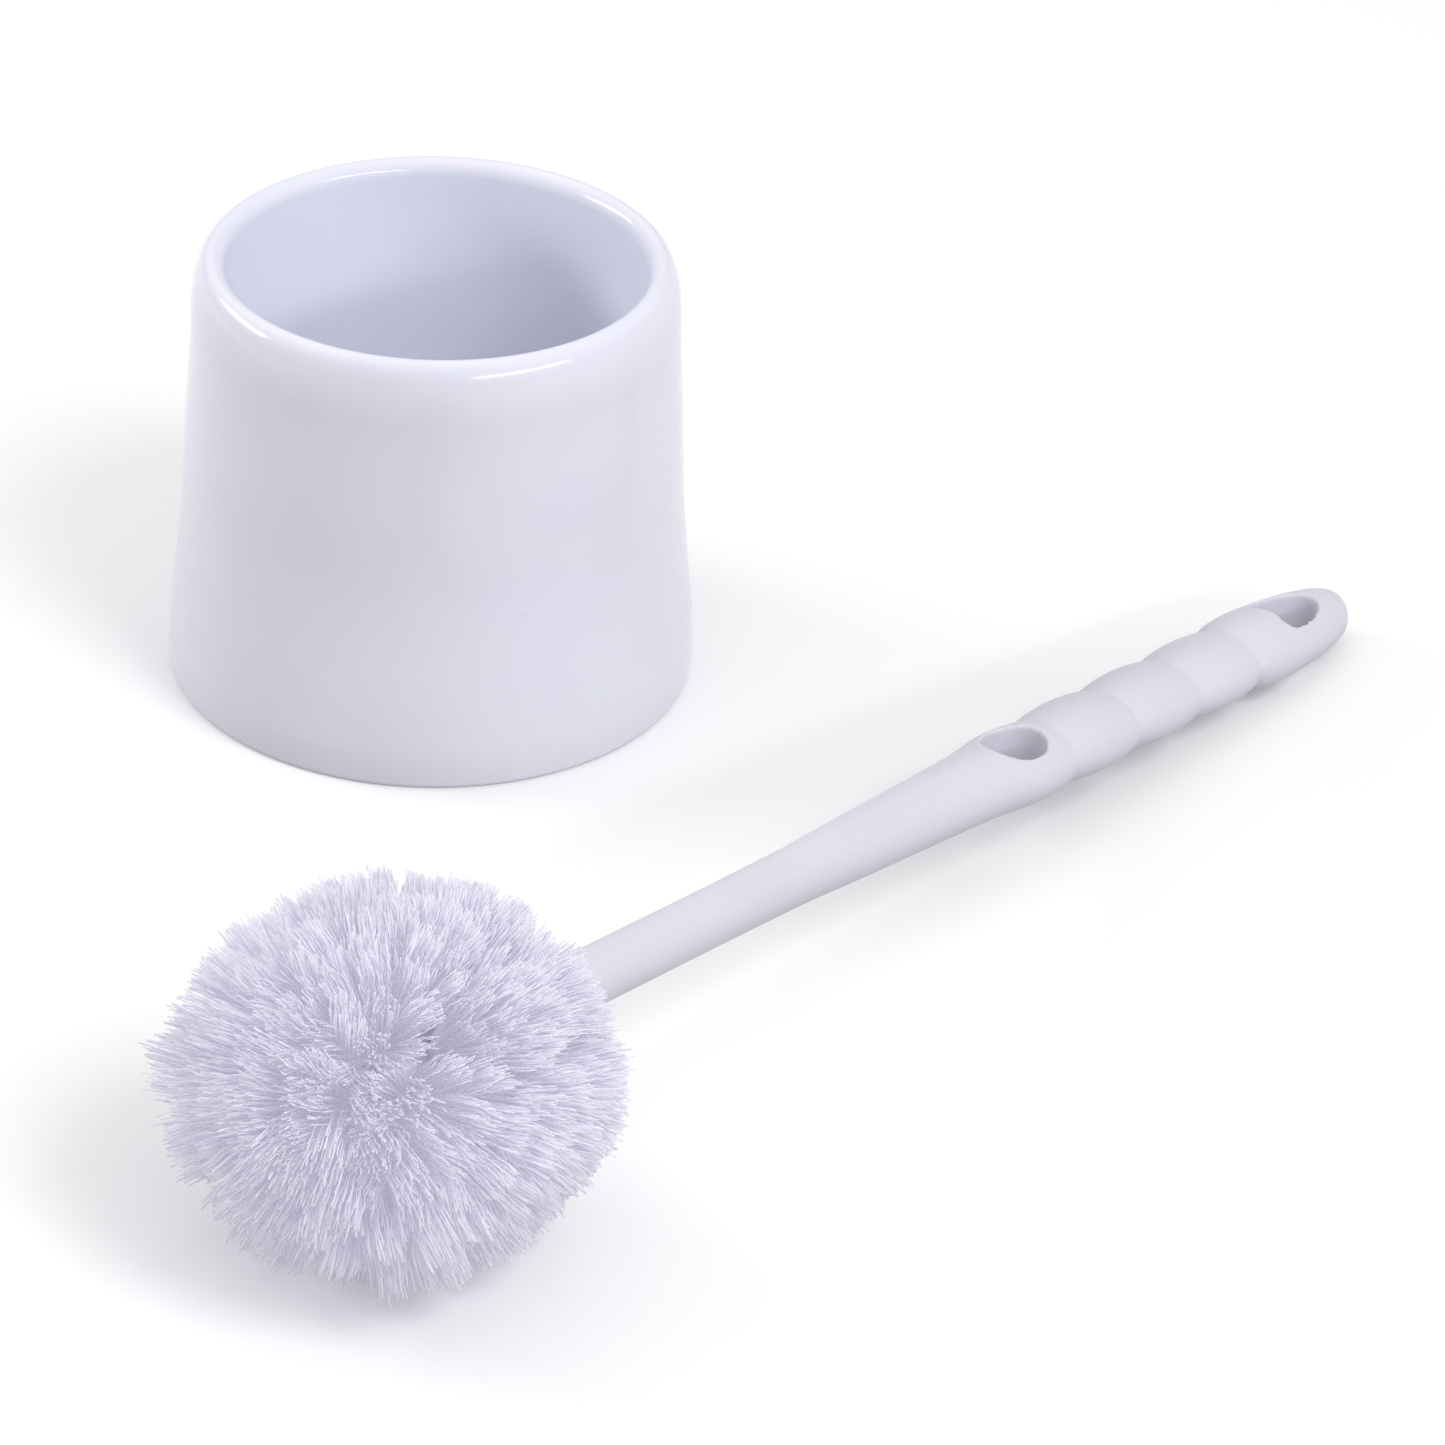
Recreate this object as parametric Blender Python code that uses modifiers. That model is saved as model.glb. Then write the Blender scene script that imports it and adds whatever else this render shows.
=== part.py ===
"""Toilet brush set: a round open holder standing on its skirt, and a bowl brush lying beside it.

The holder is one double-walled moulding: an outer skirt and an inner cup joined by a rolled rim.
The brush is a moulded handle whose head block holds bristle tufts, each folded around a metal
anchor that is pressed across the bottom of its socket.
Lengths are in millimetres until they reach Blender, and +Z is up.
"""

import math

import bmesh
import bpy
from mathutils import Euler, Matrix, Vector

MM = 0.001

# Holder, measured from its own axis and from the floor.
HOLDER_CENTRE = (-72.0, 100.8)
HOLDER_HEIGHT = 97.0
HOLDER_RADIUS = 57.0
MOUTH_RADIUS = 0.786 * HOLDER_RADIUS
LIP_WIDTH = 1.6
LIP_DROP = 1.7
SHOULDER_POWER = 2.3
HOLDER_WALL = 2.2
CUP_FLOOR_HEIGHT = 8.0
CUP_FLOOR_RADIUS = MOUTH_RADIUS - 3.8
CUP_CORNER_RADIUS = 5.0
BASE_CORNER = 1.2
HOLDER_STEPS = 64
# Outer skirt below the shoulder: (share of the height, share of the largest radius).
SKIRT_SHAPE = (
    (0.845, 0.9115),
    (0.79, 0.915),
    (0.70, 0.924),
    (0.62, 0.932),
    (0.54, 0.9375),
    (0.46, 0.943),
    (0.38, 0.9535),
    (0.31, 0.965),
    (0.24, 0.978),
    (0.175, 0.9885),
    (0.12, 0.996),
    (0.08, 1.0),
    (0.04, 0.998),
)

# Brush, lying on its tufts and on the handle's end. Distances run along the handle from the head centre.
HEAD_PLACE = (-66.3, -117.4)
HANDLE_HEADING_DEG = 52.0
FLOOR_GAP = 0.3

# Handle sections: (distance, width, height), placed from the head block, the grip or the last crease.
HEAD_RADIUS = 11.0
HEAD_END = -12.0
SHAFT_START = 32.0
SHAFT_DIAMETER = 11.6
GRIP_START = 205.7
SECTION_SIDES = 28
SHAFT_BEFORE_GRIP = (
    (-86.2, 12.0, 11.9),
    (-71.7, 13.3, 12.5),
    (-59.7, 14.4, 13.0),
    (-47.7, 15.4, 13.3),
    (-35.2, 16.6, 13.6),
    (-25.2, 17.8, 13.9),
    (-19.2, 19.4, 14.1),
    (-15.2, 20.7, 14.3),
    (-11.2, 21.3, 14.4),
    (-7.2, 20.9, 14.1),
    (-3.2, 19.9, 13.6),
)
# Finger bulges: (width, height) at the creases between them and where each is widest.
BULGE_PITCH = 22.65
CREASES = ((19.2, 13.1), (18.8, 12.3), (18.8, 12.5), (18.6, 12.6))
BULGES = ((21.3, 14.7), (21.1, 14.6), (21.1, 14.5))
BULGE_SAMPLES = 9
BULGE_FULLNESS = 0.75
END_AFTER_GRIP = (
    (1.6, 20.2, 13.8),
    (4.1, 21.3, 14.8),
    (8.2, 21.8, 15.4),
    (12.2, 21.8, 15.1),
    (16.3, 21.5, 14.6),
    (20.4, 21.0, 14.0),
    (24.4, 20.1, 13.4),
    (28.4, 18.9, 12.9),
    (32.4, 17.2, 12.2),
    (35.6, 15.3, 11.5),
    (38.6, 12.2, 10.4),
    (40.9, 8.0, 8.2),
    (42.2, 3.6, 4.6),
)
GRIP_END = GRIP_START + BULGE_PITCH * len(BULGES)
THUMB_HOLE_CENTRE = GRIP_START - 11.5
THUMB_HOLE_LENGTH = 15.0
THUMB_HOLE_WIDTH = 13.2
HANG_HOLE_START = GRIP_END + 14.7
HANG_HOLE_LENGTH = 16.5
HANG_HOLE_WIDTH = 13.0
HANG_HOLE_CORNER = 2.0
HOLE_SIDES = 32

# Tufts and anchors. The sockets follow the head block, so that walls stay between them.
TUFT_PLUG_RADIUS = 0.1773 * HEAD_RADIUS
SOCKET_CLEARANCE = 0.3
PLUG_DEPTH = 0.3636 * HEAD_RADIUS
TUFT_END_RADIUS = 9.2
TUFT_SIDES = 16
DOME_SAMPLES = 4
ANCHOR_LENGTH = 2 * TUFT_PLUG_RADIUS + SOCKET_CLEARANCE
ANCHOR_THICKNESS = 0.5
ANCHOR_HEIGHT = 1.6
ANCHOR_DEPTH = 0.55 * PLUG_DEPTH
ANCHOR_CLEARANCE = 0.3
# Rings of tufts: name, how many, distance from the head centre, lean towards the handle,
# turn of the first one about the head axis, length beyond the head block.
TUFT_RINGS = (
    ("rear", 8, 13.0, 35.0, 0.0, 26.0),
    ("mid", 8, 4.0, 8.0, 0.0, 26.0),
    ("front", 5, -5.5, -34.0, 9.0, 26.0),
    ("tip", 3, -11.0, -70.0, -15.0, 27.5),
)


def make_collection(name, hidden=False):
    """A collection linked to the scene; a hidden one is left out of renders."""
    collection = bpy.data.collections.new(name)
    collection.hide_render = hidden
    bpy.context.scene.collection.children.link(collection)
    return collection


def make_material(name, colour, roughness, metallic=0.0):
    """A Principled material in one colour."""
    material = bpy.data.materials.new(name)
    material.use_nodes = True
    shader = material.node_tree.nodes["Principled BSDF"]
    shader.inputs["Base Color"].default_value = (*colour, 1.0)
    shader.inputs["Roughness"].default_value = roughness
    shader.inputs["Metallic"].default_value = metallic
    return material


def add_object(name, mesh, collection, material=None):
    """An object of this mesh in the collection."""
    obj = bpy.data.objects.new(name, mesh)
    collection.objects.link(obj)
    if material and not mesh.materials:
        mesh.materials.append(material)
    return obj


def mesh_from(name, points, faces):
    """A mesh of points in millimetres, with its faces turned outwards."""
    mesh = bpy.data.meshes.new(name)
    mesh.from_pydata([Vector(point) * MM for point in points], [], faces)
    work = bmesh.new()
    work.from_mesh(mesh)
    bmesh.ops.recalc_face_normals(work, faces=work.faces)
    work.to_mesh(mesh)
    work.free()
    return mesh


def add_turned(name, outline, steps, collection, material=None):
    """A turned solid: the outline (radius, height) runs down the outer side, and both ends meet the axis."""
    mesh = bpy.data.meshes.new(name)
    points = [(radius * MM, 0.0, height * MM) for radius, height in outline]
    mesh.from_pydata(points, [(i, i + 1) for i in range(len(points) - 1)], [])
    obj = add_object(name, mesh, collection, material)
    screw = obj.modifiers.new("turn", "SCREW")
    screw.axis = "Z"
    screw.steps = steps
    screw.render_steps = steps
    screw.use_merge_vertices = True
    screw.merge_threshold = 0.00001
    screw.use_smooth_shade = True
    return obj


def subtract(obj, cutter):
    """Cuts the cutter out of the object."""
    boolean = obj.modifiers.new("cut_" + cutter.name, "BOOLEAN")
    boolean.operation = "DIFFERENCE"
    boolean.solver = "EXACT"
    boolean.object = cutter


def add_cutter(name, mesh):
    """A helper solid that only cuts."""
    cutter = add_object(name, mesh, CUTTERS)
    cutter.hide_render = True
    cutter.display_type = "WIRE"
    return cutter


def arc(centre, radii, start_deg, end_deg, count, power=2.0):
    """Points of a superellipse arc, both ends included."""
    points = []
    for i in range(count + 1):
        angle = math.radians(start_deg + (end_deg - start_deg) * i / count)
        across = math.copysign(abs(math.cos(angle)) ** (2 / power), math.cos(angle))
        along = math.copysign(abs(math.sin(angle)) ** (2 / power), math.sin(angle))
        points.append((centre[0] + radii[0] * across, centre[1] + radii[1] * along))
    return points


def holder_outline():
    """The holder's section from the cup floor, over the rim, down the skirt and back under the cup."""
    skirt = [(r * HOLDER_RADIUS, z * HOLDER_HEIGHT) for z, r in SKIRT_SHAPE]
    shoulder_radius, shoulder_height = skirt[0]
    crest_radius = MOUTH_RADIUS + LIP_WIDTH
    floor_corner = arc(
        (CUP_FLOOR_RADIUS - CUP_CORNER_RADIUS, CUP_FLOOR_HEIGHT + CUP_CORNER_RADIUS),
        (CUP_CORNER_RADIUS, CUP_CORNER_RADIUS),
        -90,
        -4,
        4,
    )
    lip = arc((crest_radius, HOLDER_HEIGHT - LIP_DROP), (LIP_WIDTH, LIP_DROP), 180, 90, 4)
    shoulder = arc(
        (crest_radius, shoulder_height),
        (shoulder_radius - crest_radius, HOLDER_HEIGHT - shoulder_height),
        90,
        0,
        8,
        SHOULDER_POWER,
    )
    outer = lip + shoulder[1:] + skirt[1:]
    base_radius = skirt[-1][0] - 0.3
    foot = [(base_radius, BASE_CORNER), (base_radius - BASE_CORNER, 0.0)]
    inner_foot = base_radius - HOLDER_WALL
    under_skirt = [(inner_foot - BASE_CORNER, 0.0), (inner_foot, BASE_CORNER + 1.0)]
    under_skirt += [(radius - HOLDER_WALL, height) for radius, height in reversed(skirt[1:-1])]
    cup_outer = MOUTH_RADIUS + HOLDER_WALL
    under_rim = [
        (shoulder_radius - HOLDER_WALL, shoulder_height),
        ((shoulder_radius - HOLDER_WALL + cup_outer) / 2, HOLDER_HEIGHT - 2 * HOLDER_WALL),
        (cup_outer, shoulder_height),
    ]
    under_cup = [
        (floor_corner[-1][0] + HOLDER_WALL, CUP_FLOOR_HEIGHT + CUP_CORNER_RADIUS),
        (CUP_FLOOR_RADIUS - CUP_CORNER_RADIUS / 2, CUP_FLOOR_HEIGHT - HOLDER_WALL + 1.0),
        (CUP_FLOOR_RADIUS - CUP_CORNER_RADIUS, CUP_FLOOR_HEIGHT - HOLDER_WALL),
        (0.0, CUP_FLOOR_HEIGHT - HOLDER_WALL),
    ]
    return [(0.0, CUP_FLOOR_HEIGHT)] + floor_corner + outer + foot + under_skirt + under_rim + under_cup


def head_radius(distance):
    """The head block's radius at a distance from the head centre."""
    if distance <= 0:
        return HEAD_RADIUS * math.sqrt(max(0.0, 1 - (distance / HEAD_END) ** 2))
    share = min(1.0, distance / SHAFT_START)
    blend = (1 + math.cos(math.pi * share**1.4)) / 2
    return SHAFT_DIAMETER / 2 + (HEAD_RADIUS - SHAFT_DIAMETER / 2) * blend


def moved(sections, start):
    """The sections with their distances counted from a start."""
    return [(start + distance, width, height) for distance, width, height in sections]


def handle_sections():
    """(distance, width, height) of each section of the handle, from the head's end to the tip."""
    sections = []
    for share in (0.999, 0.985, 0.95, 0.89, 0.8, 0.68, 0.54, 0.38, 0.2, 0.0):
        radius = head_radius(HEAD_END * share)
        sections.append((HEAD_END * share, 2 * radius, 2 * radius))
    for share in (0.12, 0.25, 0.38, 0.5, 0.62, 0.74, 0.87):
        radius = head_radius(SHAFT_START * share)
        sections.append((SHAFT_START * share, 2 * radius, 2 * radius))
    for distance in (SHAFT_START, 60.0, 91.0):
        sections.append((distance, SHAFT_DIAMETER, SHAFT_DIAMETER))
    sections += moved(SHAFT_BEFORE_GRIP, GRIP_START)
    for number, (start, end, widest) in enumerate(zip(CREASES, CREASES[1:], BULGES)):
        for i in range(BULGE_SAMPLES):
            share = i / BULGE_SAMPLES
            swell = math.sin(math.pi * share) ** BULGE_FULLNESS
            crease = [a + (b - a) * share for a, b in zip(start, end)]
            size = [narrow + (wide - narrow) * swell for narrow, wide in zip(crease, widest)]
            sections.append((GRIP_START + (number + share) * BULGE_PITCH, *size))
    sections.append((GRIP_END, *CREASES[-1]))
    sections += moved(END_AFTER_GRIP, GRIP_END)
    return sections


def head_height():
    """How high the head centre lies above the floor when it rests on its middle tufts."""
    _, _, distance, _, _, length = TUFT_RINGS[1]
    return head_radius(distance) + length + 2 * FLOOR_GAP


def handle_drop():
    """The angle by which the handle falls from the head until its end meets the floor."""
    fall = head_height() - FLOOR_GAP
    angles = []
    for distance, _, height in moved(END_AFTER_GRIP, GRIP_END):
        reach = math.hypot(distance, height / 2)
        angles.append(math.asin(fall / reach) - math.atan2(height / 2, distance))
    return min(angles)


def add_handle(frame, collection, material):
    """The handle and head block, one moulding lofted through its sections."""
    points = []
    sections = handle_sections()
    for distance, width, height in sections:
        for side in range(SECTION_SIDES):
            angle = 2 * math.pi * side / SECTION_SIDES
            points.append((distance, math.cos(angle) * width / 2, math.sin(angle) * height / 2))
    faces = []
    for row in range(len(sections) - 1):
        for side in range(SECTION_SIDES):
            near = row * SECTION_SIDES
            after = (side + 1) % SECTION_SIDES
            faces.append(
                (near + side, near + after, near + SECTION_SIDES + after, near + SECTION_SIDES + side)
            )
    last = (len(sections) - 1) * SECTION_SIDES
    faces.append(tuple(range(SECTION_SIDES)))
    faces.append(tuple(last + side for side in reversed(range(SECTION_SIDES))))
    handle = add_object("brush_handle", mesh_from("brush_handle", points, faces), collection, material)
    handle.parent = frame
    return handle


def prism(name, outline, half_height):
    """An upright cutter on a flat outline in the handle's own plane."""
    count = len(outline)
    points = [(x, y, level) for level in (-half_height, half_height) for x, y in outline]
    faces = [tuple(range(count)), tuple(range(2 * count - 1, count - 1, -1))]
    faces += [(i, (i + 1) % count, count + (i + 1) % count, count + i) for i in range(count)]
    return add_cutter(name, mesh_from(name, points, faces))


def thumb_hole_outline():
    """An oval around the thumb hole's centre."""
    return arc(
        (THUMB_HOLE_CENTRE, 0.0), (THUMB_HOLE_LENGTH / 2, THUMB_HOLE_WIDTH / 2), 0, 360, HOLE_SIDES
    )[:-1]


def hang_hole_outline():
    """A D shape: straight on the grip's side, round towards the tip."""
    half_width = HANG_HOLE_WIDTH / 2
    corner = HANG_HOLE_CORNER
    straight = HANG_HOLE_START + corner
    outline = arc((straight, half_width - corner), (corner, corner), 180, 90, 4)
    outline += arc((straight + 1.0, 0.0), (HANG_HOLE_LENGTH - corner - 1.0, half_width), 90, -90, 16)
    outline += arc((straight, corner - half_width), (corner, corner), 270, 180, 4)
    return outline


def ring_places():
    """(name, pose in the handle's frame, ring index) for each tuft."""
    places = []
    for index, (ring, count, distance, lean, first, _) in enumerate(TUFT_RINGS):
        for i in range(count):
            turn = Matrix.Rotation(math.radians(first + 360 * i / count), 4, "X")
            tilt = Matrix.Rotation(math.radians(lean), 4, "Y")
            root = Vector((distance, 0.0, head_radius(distance))) * MM
            places.append((f"{ring}_{i + 1}", turn @ Matrix.Translation(root) @ tilt, index))
    return places


def tuft_outline(length):
    """A tuft's section: domed free end, flare, and the plug that fills its socket."""
    spread = math.atan2(TUFT_END_RADIUS - TUFT_PLUG_RADIUS, length)
    apex = TUFT_PLUG_RADIUS / math.tan(spread)
    reach = length + apex
    outline = []
    for i in range(DOME_SAMPLES + 1):
        angle = spread * i / DOME_SAMPLES
        outline.append((reach * math.sin(angle), reach * math.cos(angle) - apex))
    for share in (0.6, 0.25):
        outline.append((TUFT_PLUG_RADIUS + length * share * math.tan(spread), length * share))
    outline += [(TUFT_PLUG_RADIUS, 0.2), (TUFT_PLUG_RADIUS, -PLUG_DEPTH), (0.0, -PLUG_DEPTH)]
    return outline


def slot_cutter():
    """The loop of filaments leaves this slot, in which the anchor lies."""
    half = (
        TUFT_PLUG_RADIUS + 1.0,
        ANCHOR_THICKNESS / 2 + ANCHOR_CLEARANCE,
        ANCHOR_HEIGHT / 2 + ANCHOR_CLEARANCE,
    )
    mesh = block_mesh("tuft_slot", half)
    cutter = add_cutter("tuft_slot", mesh)
    cutter.location = (0.0, 0.0, -ANCHOR_DEPTH * MM)
    return cutter


def block_mesh(name, half):
    """A rectangular block centred on its origin."""
    work = bmesh.new()
    bmesh.ops.create_cube(work, size=2.0)
    bmesh.ops.scale(work, vec=Vector(half) * MM, verts=work.verts)
    mesh = bpy.data.meshes.new(name)
    work.to_mesh(mesh)
    work.free()
    return mesh


def tuft_mesh(ring, length, slot, material):
    """One tuft's finished mesh, shared by the copies in its ring."""
    pattern = add_turned("pattern_" + ring, tuft_outline(length), TUFT_SIDES, CUTTERS, material)
    subtract(pattern, slot)
    bpy.context.view_layer.update()
    graph = bpy.context.evaluated_depsgraph_get()
    mesh = bpy.data.meshes.new_from_object(pattern.evaluated_get(graph))
    mesh.name = "tuft_" + ring
    bpy.data.objects.remove(pattern)
    return mesh


def socket_cutter(places):
    """Every socket of the head block in one cutter."""
    radius = TUFT_PLUG_RADIUS + SOCKET_CLEARANCE
    depth = PLUG_DEPTH + SOCKET_CLEARANCE
    above = 3.0
    work = bmesh.new()
    for _, pose, _ in places:
        middle = Matrix.Translation(Vector((0.0, 0.0, (above - depth) / 2)) * MM)
        bmesh.ops.create_cone(
            work,
            cap_ends=True,
            segments=TUFT_SIDES,
            radius1=radius * MM,
            radius2=radius * MM,
            depth=(above + depth) * MM,
            matrix=pose @ middle,
        )
    mesh = bpy.data.meshes.new("sockets")
    work.to_mesh(mesh)
    work.free()
    return add_cutter("sockets", mesh)


def build():
    """Every piece of the set, in its resting layout."""
    white = make_material("white_polypropylene", (0.80, 0.79, 0.83), 0.28)
    grip_white = make_material("white_polypropylene_handle", (0.72, 0.71, 0.77), 0.38)
    bristle = make_material("white_bristle_filament", (0.80, 0.80, 0.84), 0.55)
    steel = make_material("galvanised_steel_anchor", (0.55, 0.55, 0.57), 0.35, 1.0)

    holder = add_turned("holder", holder_outline(), HOLDER_STEPS, PIECES, white)
    holder.location = (HOLDER_CENTRE[0] * MM, HOLDER_CENTRE[1] * MM, 0.0)

    frame = bpy.data.objects.new("brush_frame", None)
    PIECES.objects.link(frame)
    frame.location = Vector((*HEAD_PLACE, head_height())) * MM
    frame.rotation_euler = Euler((0.0, handle_drop(), math.radians(HANDLE_HEADING_DEG)))

    handle = add_handle(frame, PIECES, grip_white)
    places = ring_places()
    cutters = [
        prism("thumb_hole", thumb_hole_outline(), 2 * SHAFT_DIAMETER),
        prism("hang_hole", hang_hole_outline(), 2 * SHAFT_DIAMETER),
        socket_cutter(places),
    ]
    for cutter in cutters:
        cutter.parent = frame
        subtract(handle, cutter)

    slot = slot_cutter()
    tufts = [tuft_mesh(ring[0], ring[5], slot, bristle) for ring in TUFT_RINGS]
    anchor_mesh = block_mesh(
        "anchor", (ANCHOR_LENGTH / 2, ANCHOR_THICKNESS / 2, ANCHOR_HEIGHT / 2)
    )
    seat = Matrix.Translation((0.0, 0.0, -ANCHOR_DEPTH * MM))
    for name, pose, ring in places:
        tuft = add_object("tuft_" + name, tufts[ring], PIECES)
        anchor = add_object("anchor_" + name, anchor_mesh, PIECES, steel)
        for obj, local in ((tuft, pose), (anchor, pose @ seat)):
            obj.parent = frame
            obj.matrix_local = local


for stale in list(bpy.data.objects):
    bpy.data.objects.remove(stale)
PIECES = make_collection("toilet_brush_set")
CUTTERS = make_collection("cutters", hidden=True)
build()
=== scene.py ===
"""Studio scene of a white toilet brush set: a round open holder, and its brush lying beside it.

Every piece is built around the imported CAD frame, in its coordinates: metres, +Z up, floor at zero.
Sizes inside the classes are millimetres, as a maker would write them, until a mesh is made.
"""

import logging
import math
from collections.abc import Sequence
from dataclasses import dataclass, field
from enum import Enum

import bpy
import numpy as np
from mathutils import Euler, Matrix, Vector
from numpy.typing import NDArray


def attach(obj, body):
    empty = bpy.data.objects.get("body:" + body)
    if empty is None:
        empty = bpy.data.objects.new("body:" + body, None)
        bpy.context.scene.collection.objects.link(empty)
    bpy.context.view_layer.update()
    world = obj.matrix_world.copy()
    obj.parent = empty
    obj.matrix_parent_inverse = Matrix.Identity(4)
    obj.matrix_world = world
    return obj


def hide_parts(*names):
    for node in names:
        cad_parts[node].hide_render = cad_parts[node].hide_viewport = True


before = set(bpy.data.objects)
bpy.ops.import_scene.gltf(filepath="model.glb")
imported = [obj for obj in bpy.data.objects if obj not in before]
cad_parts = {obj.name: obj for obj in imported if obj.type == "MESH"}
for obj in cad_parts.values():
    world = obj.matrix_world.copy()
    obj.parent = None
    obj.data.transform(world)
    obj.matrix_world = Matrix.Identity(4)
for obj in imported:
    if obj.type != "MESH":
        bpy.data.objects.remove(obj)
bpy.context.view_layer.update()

MM = 0.001
LOG = logging.getLogger("toilet_brush_set")
Array = NDArray[np.float64]
Faces = NDArray[np.int64]
Pair = tuple[float, float]
Triple = tuple[float, float, float]
Mesh = bpy.types.Mesh
Material = bpy.types.Material
Tree = bpy.types.NodeTree
Socket = bpy.types.NodeSocket


class Body(Enum):
    """The bodies that pieces ride on."""

    HOLDER = "holder"
    BRUSH = "brush"


class Slot(Enum):
    """The finishes that a repaint may change."""

    HOLDER = "holder_plastic"
    HANDLE = "handle_plastic"
    BRISTLE = "bristle"
    ANCHOR = "anchor_steel"


# ---- finishes


def linear(colour: str) -> tuple[float, float, float, float]:
    """Turns an sRGB hex colour into the linear RGBA that shaders take.

    Args:
        colour: Colour such as "#d8d8e2".

    Returns:
        Linear red, green, blue and an alpha of one.
    """
    shares = [int(colour[i : i + 2], 16) / 255 for i in (1, 3, 5)]
    red, green, blue = (s / 12.92 if s <= 0.04045 else ((s + 0.055) / 1.055) ** 2.4 for s in shares)
    return red, green, blue, 1.0


def add_node(
    tree: Tree,
    kind: str,
    inputs: dict[str | int, object] | None = None,
    **settings: object,
) -> bpy.types.Node:
    """Adds one shader node with its settings, values and links.

    Args:
        tree: Node tree that takes the node.
        kind: Type name of the node.
        inputs: Value, or another node's output socket, for each input by name or number.
        settings: The node's own properties by name.

    Returns:
        The new node.
    """
    node = tree.nodes.new(kind)
    for name, value in settings.items():
        setattr(node, name, value)
    for key, value in (inputs or {}).items():
        if isinstance(value, Socket):
            tree.links.new(value, node.inputs[key])
        else:
            node.inputs[key].default_value = value
    return node


def empty_material(name: str) -> tuple[Material, Tree]:
    """Makes a node material with no nodes in it.

    Args:
        name: Name of the material.

    Returns:
        The material and its node tree.
    """
    material = bpy.data.materials.new(name)
    material.use_nodes = True
    material.node_tree.nodes.clear()
    return material, material.node_tree


def noise(tree: Tree, place: Socket, size_mm: float, detail: float) -> Socket:
    """Adds a noise pattern whose blobs are about a given size.

    Args:
        tree: Node tree that takes the pattern.
        place: Coordinates in metres.
        size_mm: Size of a blob.
        detail: Finer layers on top of the blobs.

    Returns:
        The pattern's value, from 0 to 1.
    """
    inputs = {"Vector": place, "Scale": 1 / (size_mm * MM), "Detail": detail, "Roughness": 0.5}
    return add_node(tree, "ShaderNodeTexNoise", inputs).outputs["Fac"]


def spread(tree: Tree, value: Socket, span: Pair, onto: Pair) -> Socket:
    """Maps a value from one span onto another, and clamps it there.

    Args:
        tree: Node tree that takes the node.
        value: The value to map.
        span: Lowest and highest incoming value.
        onto: What they become.

    Returns:
        The mapped value.
    """
    inputs = {0: value, 1: span[0], 2: span[1], 3: onto[0], 4: onto[1]}
    return add_node(tree, "ShaderNodeMapRange", inputs, clamp=True).outputs[0]


def blend_colours(tree: Tree, share: Socket, first: object, second: object) -> Socket:
    """Mixes two colours.

    Args:
        tree: Node tree that takes the node.
        share: How much of the second colour shows.
        first: Colour or colour socket shown at 0.
        second: Colour or colour socket shown at 1.

    Returns:
        The mixed colour.
    """
    # A colour mix's own sockets come after those of a number mix and a vector mix.
    inputs = {0: share, 6: first, 7: second}
    return add_node(tree, "ShaderNodeMix", inputs, data_type="RGBA").outputs[2]


@dataclass(frozen=True)
class MouldedPolypropylene:
    """White injection-moulded polypropylene.

    It gives the eye a cool white body with soft clouds where the melt cooled unevenly, a polish
    that varies a little, and a faint ripple that bends highlights as only moulded plastic does.
    """

    name: str
    colour: str
    cloud_colour: str
    roughness: Pair
    ripple_mm: float
    ripple_depth_mm: float
    grain_mm: float
    grain_depth_mm: float
    cloud_mm: float = 38.0
    polish_mm: float = 17.0
    speck_pitch_mm: float = 5.5
    speck_radius_share: float = 0.035
    speck_colour: str = "#8f8f9a"
    ior: float = 1.49

    def material(self) -> Material:
        """Makes the plastic.

        Returns:
            The material.
        """
        material, tree = empty_material(self.name)
        place = add_node(tree, "ShaderNodeTexCoord").outputs["Object"]
        clouds = spread(tree, noise(tree, place, self.cloud_mm, 2.0), (0.35, 0.65), (0.0, 1.0))
        body = blend_colours(tree, clouds, linear(self.colour), linear(self.cloud_colour))
        specks = self._specks(tree, place)
        body = blend_colours(tree, specks, body, linear(self.speck_colour))
        polish = spread(tree, noise(tree, place, self.polish_mm, 3.0), (0.3, 0.7), self.roughness)
        relief = {
            "Strength": 1.0,
            "Distance": self.ripple_depth_mm * MM,
            "Height": noise(tree, place, self.ripple_mm, 0.0),
        }
        ripple = add_node(tree, "ShaderNodeBump", relief)
        relief = {
            "Strength": 1.0,
            "Distance": self.grain_depth_mm * MM,
            "Height": noise(tree, place, self.grain_mm, 1.0),
            "Normal": ripple.outputs[0],
        }
        grain = add_node(tree, "ShaderNodeBump", relief)
        surface = {
            "Base Color": body,
            "Roughness": polish,
            "IOR": self.ior,
            "Normal": grain.outputs[0],
        }
        shader = add_node(tree, "ShaderNodeBsdfPrincipled", surface)
        add_node(tree, "ShaderNodeOutputMaterial", {"Surface": shader.outputs[0]})
        return material

    def _specks(self, tree: Tree, place: Socket) -> Socket:
        """Adds the few specks of dust and pigment that white plastic always shows.

        Args:
            tree: Node tree that takes the pattern.
            place: Coordinates in metres.

        Returns:
            1 in a speck and 0 elsewhere.
        """
        pattern = {"Vector": place, "Scale": 1 / (self.speck_pitch_mm * MM)}
        cells = add_node(tree, "ShaderNodeTexVoronoi", pattern, feature="F1")
        edge = (self.speck_radius_share * 0.4, self.speck_radius_share)
        near = spread(tree, cells.outputs["Distance"], edge, (1.0, 0.0))
        chosen = add_node(tree, "ShaderNodeSeparateColor", {0: cells.outputs["Color"]}).outputs[0]
        some = spread(tree, chosen, (0.72, 0.95), (0.0, 0.8))
        return add_node(tree, "ShaderNodeMath", {0: near, 1: some}, operation="MULTIPLY").outputs[0]


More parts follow.
